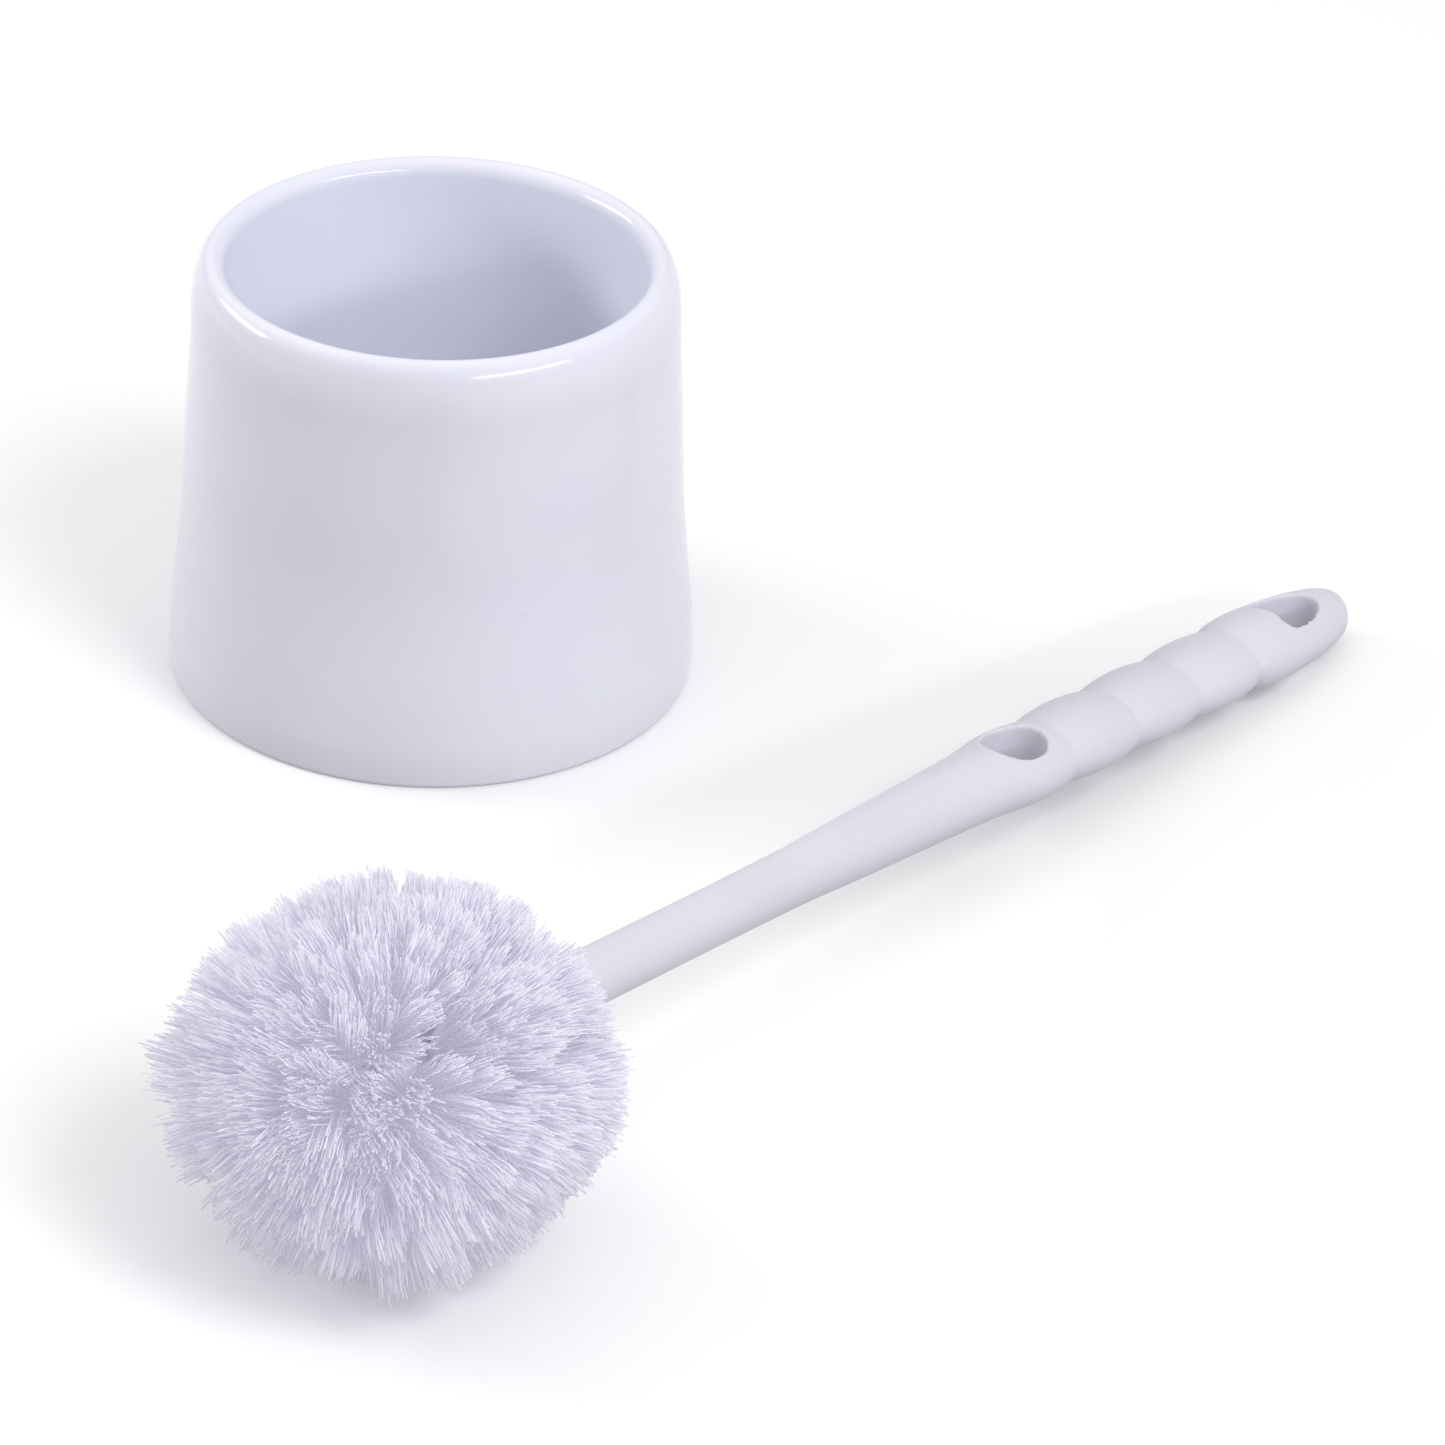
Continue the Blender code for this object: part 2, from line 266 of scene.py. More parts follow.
@dataclass(frozen=True)
class CrimpedFilament:
    """Extruded and crimped white polypropylene filament.

    It gives the eye single strands: each one a slightly different white, with a soft gloss along
    its length. Light passes through them from strand to strand, and they also give off a painted
    glow, a little emitted light that stands in for the light bounced between strands, so a tuft
    stays white deep inside. They are drawn thicker than real ones, so they show.
    """

    name: str = "crimped_polypropylene_filament"
    darkest: str = "#ecebf6"
    lightest: str = "#faf9ff"
    roughness: float = 0.6
    passes_light: float = 0.45
    # Painted glow: a little emitted light that stands in for light bounced between strands.
    painted_glow: float = 0.17
    ior: float = 1.49

    def material(self) -> Material:
        """Makes the filament.

        Returns:
            The material.
        """
        material, tree = empty_material(self.name)
        strand = add_node(tree, "ShaderNodeNewGeometry").outputs["Random Per Island"]
        colour = blend_colours(tree, strand, linear(self.darkest), linear(self.lightest))
        surface = {
            "Base Color": colour,
            "Roughness": self.roughness,
            "IOR": self.ior,
            # Painted glow: the strands emit a little light of their own, in place of light bounced
            # deep inside a tuft.
            "Emission Color": linear(self.lightest),
            "Emission Strength": self.painted_glow,
        }
        shader = add_node(tree, "ShaderNodeBsdfPrincipled", surface)
        through = add_node(tree, "ShaderNodeBsdfTranslucent", {"Color": colour})
        parts = {0: self.passes_light, 1: shader.outputs[0], 2: through.outputs[0]}
        mixed = add_node(tree, "ShaderNodeMixShader", parts)
        add_node(tree, "ShaderNodeOutputMaterial", {"Surface": mixed.outputs[0]})
        return material


@dataclass(frozen=True)
class GalvanisedSteel:
    """Cut from hot-dip galvanised steel strip.

    It gives the eye a grey metal with the patchy sheen of zinc crystals.
    """

    name: str = "galvanised_steel_strip"
    colour: str = "#b4b7bb"
    crystal_colour: str = "#9a9ea4"
    crystal_mm: float = 0.7
    roughness: Pair = (0.28, 0.5)

    def material(self) -> Material:
        """Makes the steel.

        Returns:
            The material.
        """
        material, tree = empty_material(self.name)
        place = add_node(tree, "ShaderNodeTexCoord").outputs["Object"]
        pattern = {"Vector": place, "Scale": 1 / (self.crystal_mm * MM)}
        cells = add_node(tree, "ShaderNodeTexVoronoi", pattern)
        tone = add_node(tree, "ShaderNodeSeparateColor", {0: cells.outputs["Color"]}).outputs[0]
        colour = blend_colours(tree, tone, linear(self.colour), linear(self.crystal_colour))
        sheen = spread(tree, tone, (0.0, 1.0), self.roughness)
        surface = {"Base Color": colour, "Metallic": 1.0, "Roughness": sheen}
        shader = add_node(tree, "ShaderNodeBsdfPrincipled", surface)
        add_node(tree, "ShaderNodeOutputMaterial", {"Surface": shader.outputs[0]})
        return material


@dataclass(frozen=True)
class StudioBoard:
    """Matt white board, sprayed.

    It gives the eye a plain floor, with tones so close that no pattern shows.
    """

    name: str = "matt_white_board"
    colour: str = "#f6f6f6"
    fleck_colour: str = "#f2f2f3"
    fleck_mm: float = 120.0
    roughness: float = 0.9

    def material(self) -> Material:
        """Makes the board.

        Returns:
            The material.
        """
        material, tree = empty_material(self.name)
        place = add_node(tree, "ShaderNodeTexCoord").outputs["Object"]
        tone = noise(tree, place, self.fleck_mm, 1.0)
        colour = blend_colours(tree, tone, linear(self.colour), linear(self.fleck_colour))
        surface = {"Base Color": colour, "Roughness": self.roughness, "Specular IOR Level": 0.0}
        shader = add_node(tree, "ShaderNodeBsdfPrincipled", surface)
        add_node(tree, "ShaderNodeOutputMaterial", {"Surface": shader.outputs[0]})
        return material


# ---- mesh helpers


def mesh_of(name: str, points: Array, faces: Sequence[Faces]) -> Mesh:
    """Makes a smooth mesh from arrays.

    Args:
        name: Name of the mesh.
        points: One point a row, in millimetres.
        faces: Arrays of faces, one face a row, each array with its own number of corners.

    Returns:
        The mesh, in metres.
    """
    mesh = bpy.data.meshes.new(name)
    corners = np.concatenate([part.ravel() for part in faces]).astype(np.int32)
    counts = np.concatenate([np.full(len(part), part.shape[1]) for part in faces])
    starts = np.concatenate([[0], np.cumsum(counts)[:-1]]).astype(np.int32)
    mesh.vertices.add(len(points))
    mesh.vertices.foreach_set("co", (points * MM).astype(np.float32).ravel())
    mesh.loops.add(len(corners))
    mesh.loops.foreach_set("vertex_index", corners)
    mesh.polygons.add(len(starts))
    mesh.polygons.foreach_set("loop_start", starts)
    mesh.update(calc_edges=True)
    mesh.shade_smooth()
    return mesh


def ring_faces(rings: int, sides: int) -> Faces:
    """Quads between rings of points that follow each other.

    Args:
        rings: Number of rings.
        sides: Points in each ring.

    Returns:
        One quad a row, as point numbers.
    """
    low = np.arange(rings - 1)[:, None] * sides
    side = np.arange(sides)[None, :]
    after, high = (side + 1) % sides, low + sides
    return np.stack([low + side, low + after, high + after, high + side], axis=-1).reshape(-1, 4)


def loft(levels: Array, radii: Array, ends: Pair, sides: int) -> tuple[Array, list[Faces]]:
    """Lays rings about an axis, and closes them with a point at each end.

    Args:
        levels: Where each ring stands along the axis.
        radii: Half width and half height of each.
        ends: Where the two points stand.
        sides: Points in each ring.

    Returns:
        The points, with the axis last, and the faces.
    """
    turn = 2 * math.pi * np.arange(sides) / sides
    across = (radii[:, :1] * np.cos(turn), radii[:, 1:] * np.sin(turn))
    rings = np.stack([*across, np.repeat(levels[:, None], sides, axis=1)], axis=-1)
    points = np.vstack([rings.reshape(-1, 3), *([0, 0, end] for end in ends)])
    side, last = np.arange(sides), (len(levels) - 1) * sides
    after, centre = (side + 1) % sides, np.full(sides, len(points) - 2)
    start = np.stack([after, side, centre], axis=-1)
    end = np.stack([centre + 1, last + side, last + after], axis=-1)
    return points, [ring_faces(len(levels), sides), start, end]


def drum(outline: Array, low: float, high: float) -> tuple[Array, Faces, Faces]:
    """A closed prism on a flat outline that runs counterclockwise.

    Args:
        outline: The outline's points.
        low: Level of its base.
        high: Level of its top.

    Returns:
        Its points, its sides and its two ends.
    """
    count = len(outline)
    ends = [np.column_stack([outline, np.full(count, level)]) for level in (low, high)]
    caps = np.array([np.arange(count)[::-1], count + np.arange(count)])
    return np.vstack(ends), ring_faces(2, count), caps


def put_in_scene(name: str, data: bpy.types.ID) -> bpy.types.Object:
    """Makes an object and links it to the scene.

    Args:
        name: Name of the object.
        data: Its mesh, light or camera.

    Returns:
        The object.
    """
    made = bpy.data.objects.new(name, data)
    bpy.context.scene.collection.objects.link(made)
    return made


def add_piece(
    name: str,
    mesh: Mesh,
    place: Matrix,
    body: Body,
    slot: Slot,
    material: Material,
    stands_for: str,
) -> bpy.types.Object:
    """Puts a finished piece in the scene and on its body.

    Args:
        name: Name of the piece.
        mesh: Its mesh.
        place: Where it stands.
        body: Body that it rides on.
        slot: Finish that a repaint changes. It is not used.
        material: What it is made of.
        stands_for: CAD node that it replaces.

    Returns:
        The piece.
    """
    mesh.transform(place)
    mesh.materials.append(material)
    piece = put_in_scene(name, mesh)
    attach(piece, body.value)
    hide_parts(stands_for)
    return piece


def evaluated_mesh(piece: bpy.types.Object, name: str) -> Mesh:
    """Applies a helper object's modifiers and removes the helper.

    Args:
        piece: The helper.
        name: Name of the finished mesh.

    Returns:
        The finished mesh.
    """
    bpy.context.view_layer.update()
    graph = bpy.context.evaluated_depsgraph_get()
    mesh = bpy.data.meshes.new_from_object(piece.evaluated_get(graph))
    mesh.name = name
    bpy.data.objects.remove(piece)
    return mesh


def arc(
    centre: Pair, radii: Pair, angles: Pair, count: int, power: float = 2.0
) -> list[Pair]:
    """Points of a superellipse arc, both ends included.

    Args:
        centre: Its centre.
        radii: Its half width and half height.
        angles: First and last angle in degrees.
        count: Steps between them.
        power: 2 for an ellipse, and more for squarer corners.

    Returns:
        The points.
    """
    points = []
    for angle in np.radians(np.linspace(*angles, count + 1)):
        across = math.copysign(abs(math.cos(angle)) ** (2 / power), math.cos(angle))
        along = math.copysign(abs(math.sin(angle)) ** (2 / power), math.sin(angle))
        points.append((centre[0] + radii[0] * across, centre[1] + radii[1] * along))
    return points


def smooth_curve(knots: Sequence[tuple[float, ...]], places: Array) -> Array:
    """Interpolates a table smoothly, without swinging past its own values.

    Args:
        knots: Rows of a place and its values, in rising order of place.
        places: Where values are wanted.

    Returns:
        One row of values for each place.
    """
    table = np.array(knots, float)
    x, y = table[:, 0], table[:, 1:]
    step = np.diff(x)[:, None]
    rise = np.diff(y, axis=0) / step
    slope = np.zeros_like(y)
    same_way = rise[:-1] * rise[1:] > 0
    weight_a, weight_b = 2 * step[1:] + step[:-1], step[1:] + 2 * step[:-1]
    with np.errstate(divide="ignore", invalid="ignore"):
        mean = (weight_a + weight_b) / (weight_a / rise[:-1] + weight_b / rise[1:])
    slope[1:-1] = np.where(same_way, mean, 0.0)
    slope[0], slope[-1] = rise[0], rise[-1]
    at = np.clip(np.searchsorted(x, places, side="right") - 1, 0, len(x) - 2)
    share = ((places - x[at]) / step[at, 0])[:, None]
    reach = step[at]
    return (
        (1 + 2 * share) * (1 - share) ** 2 * y[at]
        + share * (1 - share) ** 2 * reach * slope[at]
        + share**2 * (3 - 2 * share) * y[at + 1]
        + share**2 * (share - 1) * reach * slope[at + 1]
    )


# ---- holder


@dataclass
class Holder:
    """The open holder: an outer skirt and an inner cup, moulded as one around a rolled rim."""

    centre: Pair = (-72.0, 100.8)
    height: float = 97.0
    radius: float = 57.0
    mouth_share: float = 0.786
    lip_width: float = 2.6
    lip_drop: float = 3.6
    shoulder_power: float = 2.3
    wall: float = 2.2
    cup_floor_height: float = 8.0
    cup_draft: float = 3.8
    cup_corner: float = 5.0
    foot_corner: float = 1.2
    foot_inset: float = 0.3
    steps: int = 256
    # Share of the height, and share of the radius there.
    skirt: tuple[Pair, ...] = (
        *((0.04, 0.998), (0.08, 1.0), (0.12, 0.996), (0.175, 0.9885), (0.24, 0.978)),
        *((0.31, 0.965), (0.38, 0.9535), (0.46, 0.943), (0.54, 0.9375), (0.62, 0.932)),
        *((0.70, 0.924), (0.79, 0.915), (0.845, 0.9115)),
    )

    def outline(self) -> list[Pair]:
        """The closed section, from the cup floor over the rim and the skirt to the underside.

        Returns:
            Radius and height of each point.
        """
        mouth = self.radius * self.mouth_share
        crest = mouth + self.lip_width
        floor_radius = mouth - self.cup_draft
        heights = np.linspace(self.skirt[0][0], self.skirt[-1][0], 49)
        skirt = [
            (float(share) * self.radius, float(height) * self.height)
            for height, share in zip(heights, smooth_curve(self.skirt, heights)[:, 0])
        ]
        shoulder_radius, shoulder_height = skirt[-1]
        corner_top = self.cup_floor_height + self.cup_corner
        floor_edge = floor_radius - self.cup_corner
        cup = arc((floor_edge, corner_top), (self.cup_corner,) * 2, (-90, -4), 12)
        low, rim_base = cup[-1], (mouth, self.height - self.lip_drop)
        cup += [
            (low[0] + (rim_base[0] - low[0]) * float(t), low[1] + (rim_base[1] - low[1]) * float(t))
            for t in np.linspace(0, 1, 20)[1:-1]
        ]
        lip = arc((crest, rim_base[1]), (self.lip_width, self.lip_drop), (180, 90), 10)
        rise = self.height - shoulder_height
        roll = (shoulder_radius - crest, rise)
        shoulder = arc((crest, shoulder_height), roll, (90, 0), 28, self.shoulder_power)
        foot_radius = skirt[0][0] - self.foot_inset
        foot_centre = (foot_radius - self.foot_corner, self.foot_corner)
        foot = arc(foot_centre, (self.foot_corner,) * 2, (0, -90), 6)
        inside = foot_radius - self.wall
        under = [(inside - self.foot_corner, 0.0), (inside, self.foot_corner + 1.0)]
        under += [(r - self.wall, z) for r, z in skirt[4:]]
        gap = (shoulder_radius - mouth - 2 * self.wall) / 2
        gap_centre = ((shoulder_radius - self.wall + mouth + self.wall) / 2, shoulder_height)
        under += arc(gap_centre, (gap, rise - 2 * self.wall), (0, 180), 10)[1:]
        under_floor = self.cup_floor_height - self.wall
        under += [
            (floor_radius + self.wall, corner_top),
            (floor_radius - self.cup_corner / 2, under_floor + 1.0),
            (floor_edge, under_floor),
        ]
        floor = [(radius, self.cup_floor_height) for radius in np.linspace(0, cup[0][0], 8)[1:-1]]
        return floor + cup + lip + shoulder[1:] + skirt[::-1][1:] + foot + under

    def mesh(self) -> Mesh:
        """Turns the section about the holder's axis.

        Returns:
            The closed moulding.
        """
        section = np.array(self.outline())
        ends = (self.cup_floor_height, self.cup_floor_height - self.wall)
        points, faces = loft(section[:, 1], section[:, [0, 0]], ends, self.steps)
        # The section runs from the inside out, so its faces have to be turned round.
        return mesh_of("holder_moulding", points, [part[:, ::-1] for part in faces])

    def build(self, plastic: Material) -> bpy.types.Object:
        """Builds the moulding in its plastic.

        Args:
            plastic: What it is made of.

        Returns:
            The piece.
        """
        place = Matrix.Translation(Vector((*self.centre, 0.0)) * MM)
        on = (place, Body.HOLDER, Slot.HOLDER)
        return add_piece("holder_moulding", self.mesh(), *on, plastic, "holder")


# ---- brush


@dataclass
class Handle:
    """The handle and its head block, one moulding.

    Distances run along it from the head's centre.
    """

    head_radius: float = 11.0
    head_end: float = -12.0
    shaft_start: float = 32.0
    shaft_diameter: float = 11.6
    grip_start: float = 205.7
    bulge_pitch: float = 22.65
    bulge_fullness: float = 0.68
    # Width and height of the grip in each crease, and at the top of each bulge.
    creases: tuple[Pair, ...] = ((18.8, 12.7), (18.3, 11.9), (18.3, 12.1), (18.1, 12.2))
    bulges: tuple[Pair, ...] = ((21.3, 14.7), (21.1, 14.6), (21.1, 14.5))
    crease_softness: float = 0.32
    thumb_hole: Pair = (15.0, 13.2)
    thumb_hole_before_grip: float = 11.5
    hang_hole: Pair = (16.5, 13.0)
    hang_hole_after_grip: float = 14.7
    hang_hole_corner: float = 2.0
    rim_softness: float = 1.1
    rim_passes: int = 12
    tip_length: float = 2.0
    sides: int = 96
    step: float = 0.6
    voxel: float = 0.42
    # Distance from the grip's start, width and height.
    before_grip: tuple[Triple, ...] = (
        *((-86.2, 12.0, 11.9), (-71.7, 13.3, 12.5), (-59.7, 14.4, 13.0), (-47.7, 15.4, 13.3)),
        *((-35.2, 16.6, 13.6), (-25.2, 17.8, 13.9), (-19.2, 19.4, 14.1), (-15.2, 20.7, 14.3)),
        *((-11.2, 21.3, 14.4), (-7.2, 20.9, 14.1), (-3.2, 19.9, 13.6)),
    )
    # Distance from the grip's end, width and height.
    after_grip: tuple[Triple, ...] = (
        *((1.6, 20.2, 13.8), (4.1, 21.3, 14.8), (8.2, 21.8, 15.4), (12.2, 21.8, 15.1)),
        *((16.3, 21.5, 14.6), (20.4, 21.0, 14.0), (24.4, 20.1, 13.4), (28.4, 18.9, 12.9)),
        *((32.4, 17.2, 12.2), (35.6, 15.3, 11.5), (38.6, 12.2, 10.4), (40.9, 8.0, 8.2)),
        (42.2, 3.6, 4.6),
    )

    @property
    def grip_end(self) -> float:
        """Where the last finger bulge ends."""
        return self.grip_start + self.bulge_pitch * len(self.bulges)

    @property
    def tip(self) -> float:
        """Where the handle ends."""
        return self.grip_end + self.after_grip[-1][0]

    def head_radius_at(self, distance: float) -> float:
        """The head block's radius, which runs out into the shaft.

        Args:
            distance: Distance from the head's centre.

        Returns:
            The radius there.
        """
        if distance <= 0:
            return self.head_radius * math.sqrt(max(0.0, 1 - (distance / self.head_end) ** 2))
        share = min(1.0, distance / self.shaft_start)
        blend = (1 + math.cos(math.pi * share**1.4)) / 2
        return self.shaft_diameter / 2 + (self.head_radius - self.shaft_diameter / 2) * blend

    def size_at(self, places: Array) -> Array:
        """The section's size along the handle, before its creases are softened.

        Args:
            places: Distances from the head's centre.

        Returns:
            Width and height at each.
        """
        shaft = (self.shaft_diameter,) * 2
        knots = [(place, *shaft) for place in (self.shaft_start - 2, 60.0, 91.0)]
        knots += [(self.grip_start + d, w, h) for d, w, h in self.before_grip]
        knots.append((self.grip_start, *self.creases[0]))
        sizes = smooth_curve(knots, np.clip(places, knots[0][0], self.grip_start))
        head = places < self.shaft_start
        sizes[head] = [[2 * self.head_radius_at(d)] * 2 for d in places[head]]
        for number, widest in enumerate(self.bulges):
            share = (places - self.grip_start) / self.bulge_pitch - number
            inside = (share >= 0) & (share <= 1)
            part = share[inside, None]
            first, second = np.array(self.creases[number]), np.array(self.creases[number + 1])
            crease = first * (1 - part) + second * part
            swell = np.sin(math.pi * part) ** self.bulge_fullness
            sizes[inside] = crease + (np.array(widest) - crease) * swell
        end = [(self.grip_end, *self.creases[-1])]
        end += [(self.grip_end + d, w, h) for d, w, h in self.after_grip]
        beyond = places > self.grip_end
        sizes[beyond] = smooth_curve(end, places[beyond])
        return sizes

    def soft_size_at(self, places: Array) -> Array:
        """The section's size along the handle, with its creases softened.

        Args:
            places: Distances from the head's centre.

        Returns:
            Width and height at each.
        """
        lags = np.linspace(-2.5, 2.5, 11)
        weights = np.exp(-(lags**2) / 2)
        low, high = self.shaft_start + 4, self.tip - 6
        reach = np.clip(np.minimum(places - low, high - places) / 3, 0, 1) * self.crease_softness
        total = sum(
            weight * self.size_at(np.clip(places + lag * reach, self.head_end, self.tip))
            for lag, weight in zip(lags, weights)
        )
        return total / weights.sum()

    def thumb_outline(self) -> list[Pair]:
        """The thumb hole's oval, seen from above."""
        centre = (self.grip_start - self.thumb_hole_before_grip, 0.0)
        return arc(centre, (self.thumb_hole[0] / 2, self.thumb_hole[1] / 2), (0, 360), 72)[:-1]

    def hang_outline(self) -> list[Pair]:
        """The hanging hole's D, straight on the grip's side and round towards the tip.

        Returns:
            The outline, seen from above.
        """
        half, corner = self.hang_hole[1] / 2, self.hang_hole_corner
        straight = self.grip_end + self.hang_hole_after_grip + corner
        bow = (self.hang_hole[0] - corner - 1.0, half)
        outline = arc((straight, half - corner), (corner, corner), (180, 90), 8)
        outline += arc((straight + 1.0, 0.0), bow, (90, -90), 40)
        return outline + arc((straight, corner - half), (corner, corner), (270, 180), 8)

    def mesh(self, sockets: Sequence[Matrix], socket_radius: float, socket_depth: float) -> Mesh:
        """Lofts the handle, cuts its holes and sockets, and rounds their edges.

        Args:
            sockets: Pose of each tuft's socket, +Z out of the block.
            socket_radius: Radius of a socket.
            socket_depth: Depth of a socket.

        Returns:
            The finished mesh, along +X from the head.
        """
        helper = put_in_scene("handle_loft", self._loft())
        cutters = [
            self._prism("thumb_cut", self.thumb_outline()),
            self._prism("hang_cut", self.hang_outline()),
            self._socket_cut(sockets, socket_radius, socket_depth),
        ]
        for cutter in cutters:
            cut = helper.modifiers.new(cutter.name, "BOOLEAN")
            cut.operation, cut.solver, cut.object = "DIFFERENCE", "EXACT", cutter
        even = helper.modifiers.new("even", "REMESH")
        even.mode, even.voxel_size, even.use_smooth_shade = "VOXEL", self.voxel * MM, True
        mesh = evaluated_mesh(helper, "brush_handle_moulding")
        for cutter in cutters:
            bpy.data.objects.remove(cutter)
        self._refine(mesh)
        return mesh

    def _loft(self) -> Mesh:
        """Lays rings along the handle, closer together at its two ends.

        Returns:
            The closed loft, still without holes.
        """
        round_head = self.head_end * np.cos(np.linspace(0.04, math.pi / 2, 24))
        straight = np.arange(self.step, self.tip - self.tip_length, self.step)
        round_tip = self.tip - self.tip_length * (1 - np.sin(np.linspace(0, math.pi / 2, 8)))
        places = np.concatenate([round_head, straight, round_tip])
        radii, ends = self.soft_size_at(places) / 2, (self.head_end, self.tip)
        points, faces = loft(places, radii, ends, self.sides)
        return mesh_of("handle_loft", points[:, [2, 0, 1]], faces)

    def _prism(self, name: str, outline: list[Pair]) -> bpy.types.Object:
        """Makes an upright cutter.

        Args:
            name: Name of the cutter.
            outline: Its outline, seen from above, which may run either way round.

        Returns:
            The cutter.
        """
        flat = np.array(outline)
        x, y = flat.T
        twice_area = np.sum(x * np.roll(y, -1) - y * np.roll(x, -1))
        level = 2 * self.shaft_diameter
        points, quads, caps = drum(flat if twice_area > 0 else flat[::-1], -level, level)
        return put_in_scene(name, mesh_of(name, points, [quads, caps]))

    @staticmethod
    def _socket_cut(sockets: Sequence[Matrix], radius: float, depth: float) -> bpy.types.Object:
        """Makes one cutter of every socket of the head block.

        Args:
            sockets: Pose of each socket, +Z out of the block.
            radius: Radius of a socket.
            depth: Depth of a socket.

        Returns:
            The cutter.
        """
        sides, above = 24, 3.0
        turn = 2 * math.pi * np.arange(sides) / sides
        ring = np.column_stack([np.cos(turn) * radius, np.sin(turn) * radius])
        points, quads, caps = [], [], []
        plug, plug_sides, plug_caps = drum(ring, -depth, above)
        for number, pose in enumerate(sockets):
            world = np.array(pose)
            points.append(plug @ world[:3, :3].T + world[:3, 3])
            quads.append(plug_sides + 2 * sides * number)
            caps.append(plug_caps + 2 * sides * number)
        mesh = mesh_of("socket_cut", np.vstack(points), [np.vstack(quads), np.vstack(caps)])
        return put_in_scene("socket_cut", mesh)

    def _refine(self, mesh: Mesh) -> None:
        """Rounds the edges of the holes, and sets every other point exactly on the lofted surface.

        Args:
            mesh: The even mesh, which is changed.
        """
        points = np.empty(len(mesh.vertices) * 3)
        mesh.vertices.foreach_get("co", points)
        points = points.reshape(-1, 3) / MM
        edges = np.empty(len(mesh.edges) * 2, np.int64)
        mesh.edges.foreach_get("vertices", edges)
        edges = edges.reshape(-1, 2)
        away = np.full(len(points), 1e9)
        for outline in (self.thumb_outline(), self.hang_outline()):
            ring = np.array(outline)
            low, high = ring[:, 0].min() - 6, ring[:, 0].max() + 6
            nearby = (points[:, 0] > low) & (points[:, 0] < high)
            gaps = np.linalg.norm(points[nearby, None, :2] - ring[None], axis=2).min(axis=1)
            away[nearby] = np.minimum(away[nearby], gaps)
        rim = np.clip(1 - (away - self.rim_softness) / 0.6, 0, 1)[:, None]
        degree = np.bincount(edges.ravel(), minlength=len(points))[:, None]
        for _ in range(self.rim_passes):
            total = np.zeros_like(points)
            np.add.at(total, edges[:, 0], points[edges[:, 1]])
            np.add.at(total, edges[:, 1], points[edges[:, 0]])
            points += (total / np.maximum(degree, 1) - points) * 0.5 * rim
        self._snap(points, away)
        mesh.vertices.foreach_set("co", (points * MM).astype(np.float32).ravel())
        mesh.update()

    def _snap(self, points: Array, away: Array) -> None:
        """Moves points that lie on the outer surface exactly onto it.

        Args:
            points: Points in millimetres, which are changed.
            away: Distance of each point from the nearest hole's outline.
        """
        half = self.soft_size_at(np.clip(points[:, 0], self.head_end, self.tip)) / 2
        half = np.maximum(half, 0.4)
        level = np.hypot(points[:, 1] / half[:, 0], points[:, 2] / half[:, 1])
        off = np.abs(level - 1) * half.min(axis=1)
        weight = np.clip((away - self.rim_softness - 0.3) / 0.8, 0, 1)
        weight *= np.clip((0.4 - off) / 0.2, 0, 1)
        weight *= (points[:, 0] > self.head_end + 2) & (points[:, 0] < self.tip - 1.5)
        factor = 1 + (1 / np.maximum(level, 0.2) - 1) * weight
        points[:, 1:] *= factor[:, None]


@dataclass(frozen=True)
class TuftRing:
    """A ring of tufts about the head's axis. Its dome rounds off the outer strands of each."""

    name: str
    count: int
    distance: float
    lean_deg: float
    first_turn_deg: float
    length: float
    spread_deg: float
    dome: float


@dataclass(frozen=True)
class TuftShape:
    """How a tuft of crimped filament opens out, in millimetres and degrees."""

    strands: int = 980
    segments: int = 13
    radius: float = 0.16
    root_radius: float = 0.06
    plug_radius: float = 1.75
    plug_depth: float = 3.6
    stray_share: float = 0.05
    stray_opening: float = 0.13
    locks: int = 19
    lock_pull: float = 0.42
    crimp: float = 0.2
    crimp_start: float = 5.0
    wander: float = 0.6
    lock_wander: float = 0.48
    trim_scatter: float = 0.022
    lock_trim: float = 0.025
    floor_rest: float = 0.45
    floor_pile: float = 1.2
    floor_give: float = 0.02


@dataclass(frozen=True)
class Trim:
    """The shears' path: a sphere about a point on the head's axis, met by each tuft's own tip.

    A brush that has lain in use stands out further to its sides than to its top.
    """

    centre: float = 2.0
    side_gain: float = 0.13
    top_loss: float = 0.12

    def reach(self, start: Array, heading: Array, tip: Array) -> Array:
        """How far each strand runs before it meets the sphere.

        Args:
            start: Start of each strand.
            heading: Unit direction of each strand.
            tip: Where the tuft's middle strand ends.

        Returns:
            The lengths.
        """
        middle = np.array([self.centre, 0.0, 0.0])
        radius = np.linalg.norm(tip - middle)
        off = start - middle
        along = (off * heading).sum(axis=1)
        worn = 1 + self.side_gain * heading[:, 1] ** 2
        worn -= self.top_loss * np.maximum(heading[:, 2], 0) ** 2
        inside = np.maximum(along**2 - (off**2).sum(axis=1) + radius**2, 0)
        return worn * (-along + np.sqrt(inside))


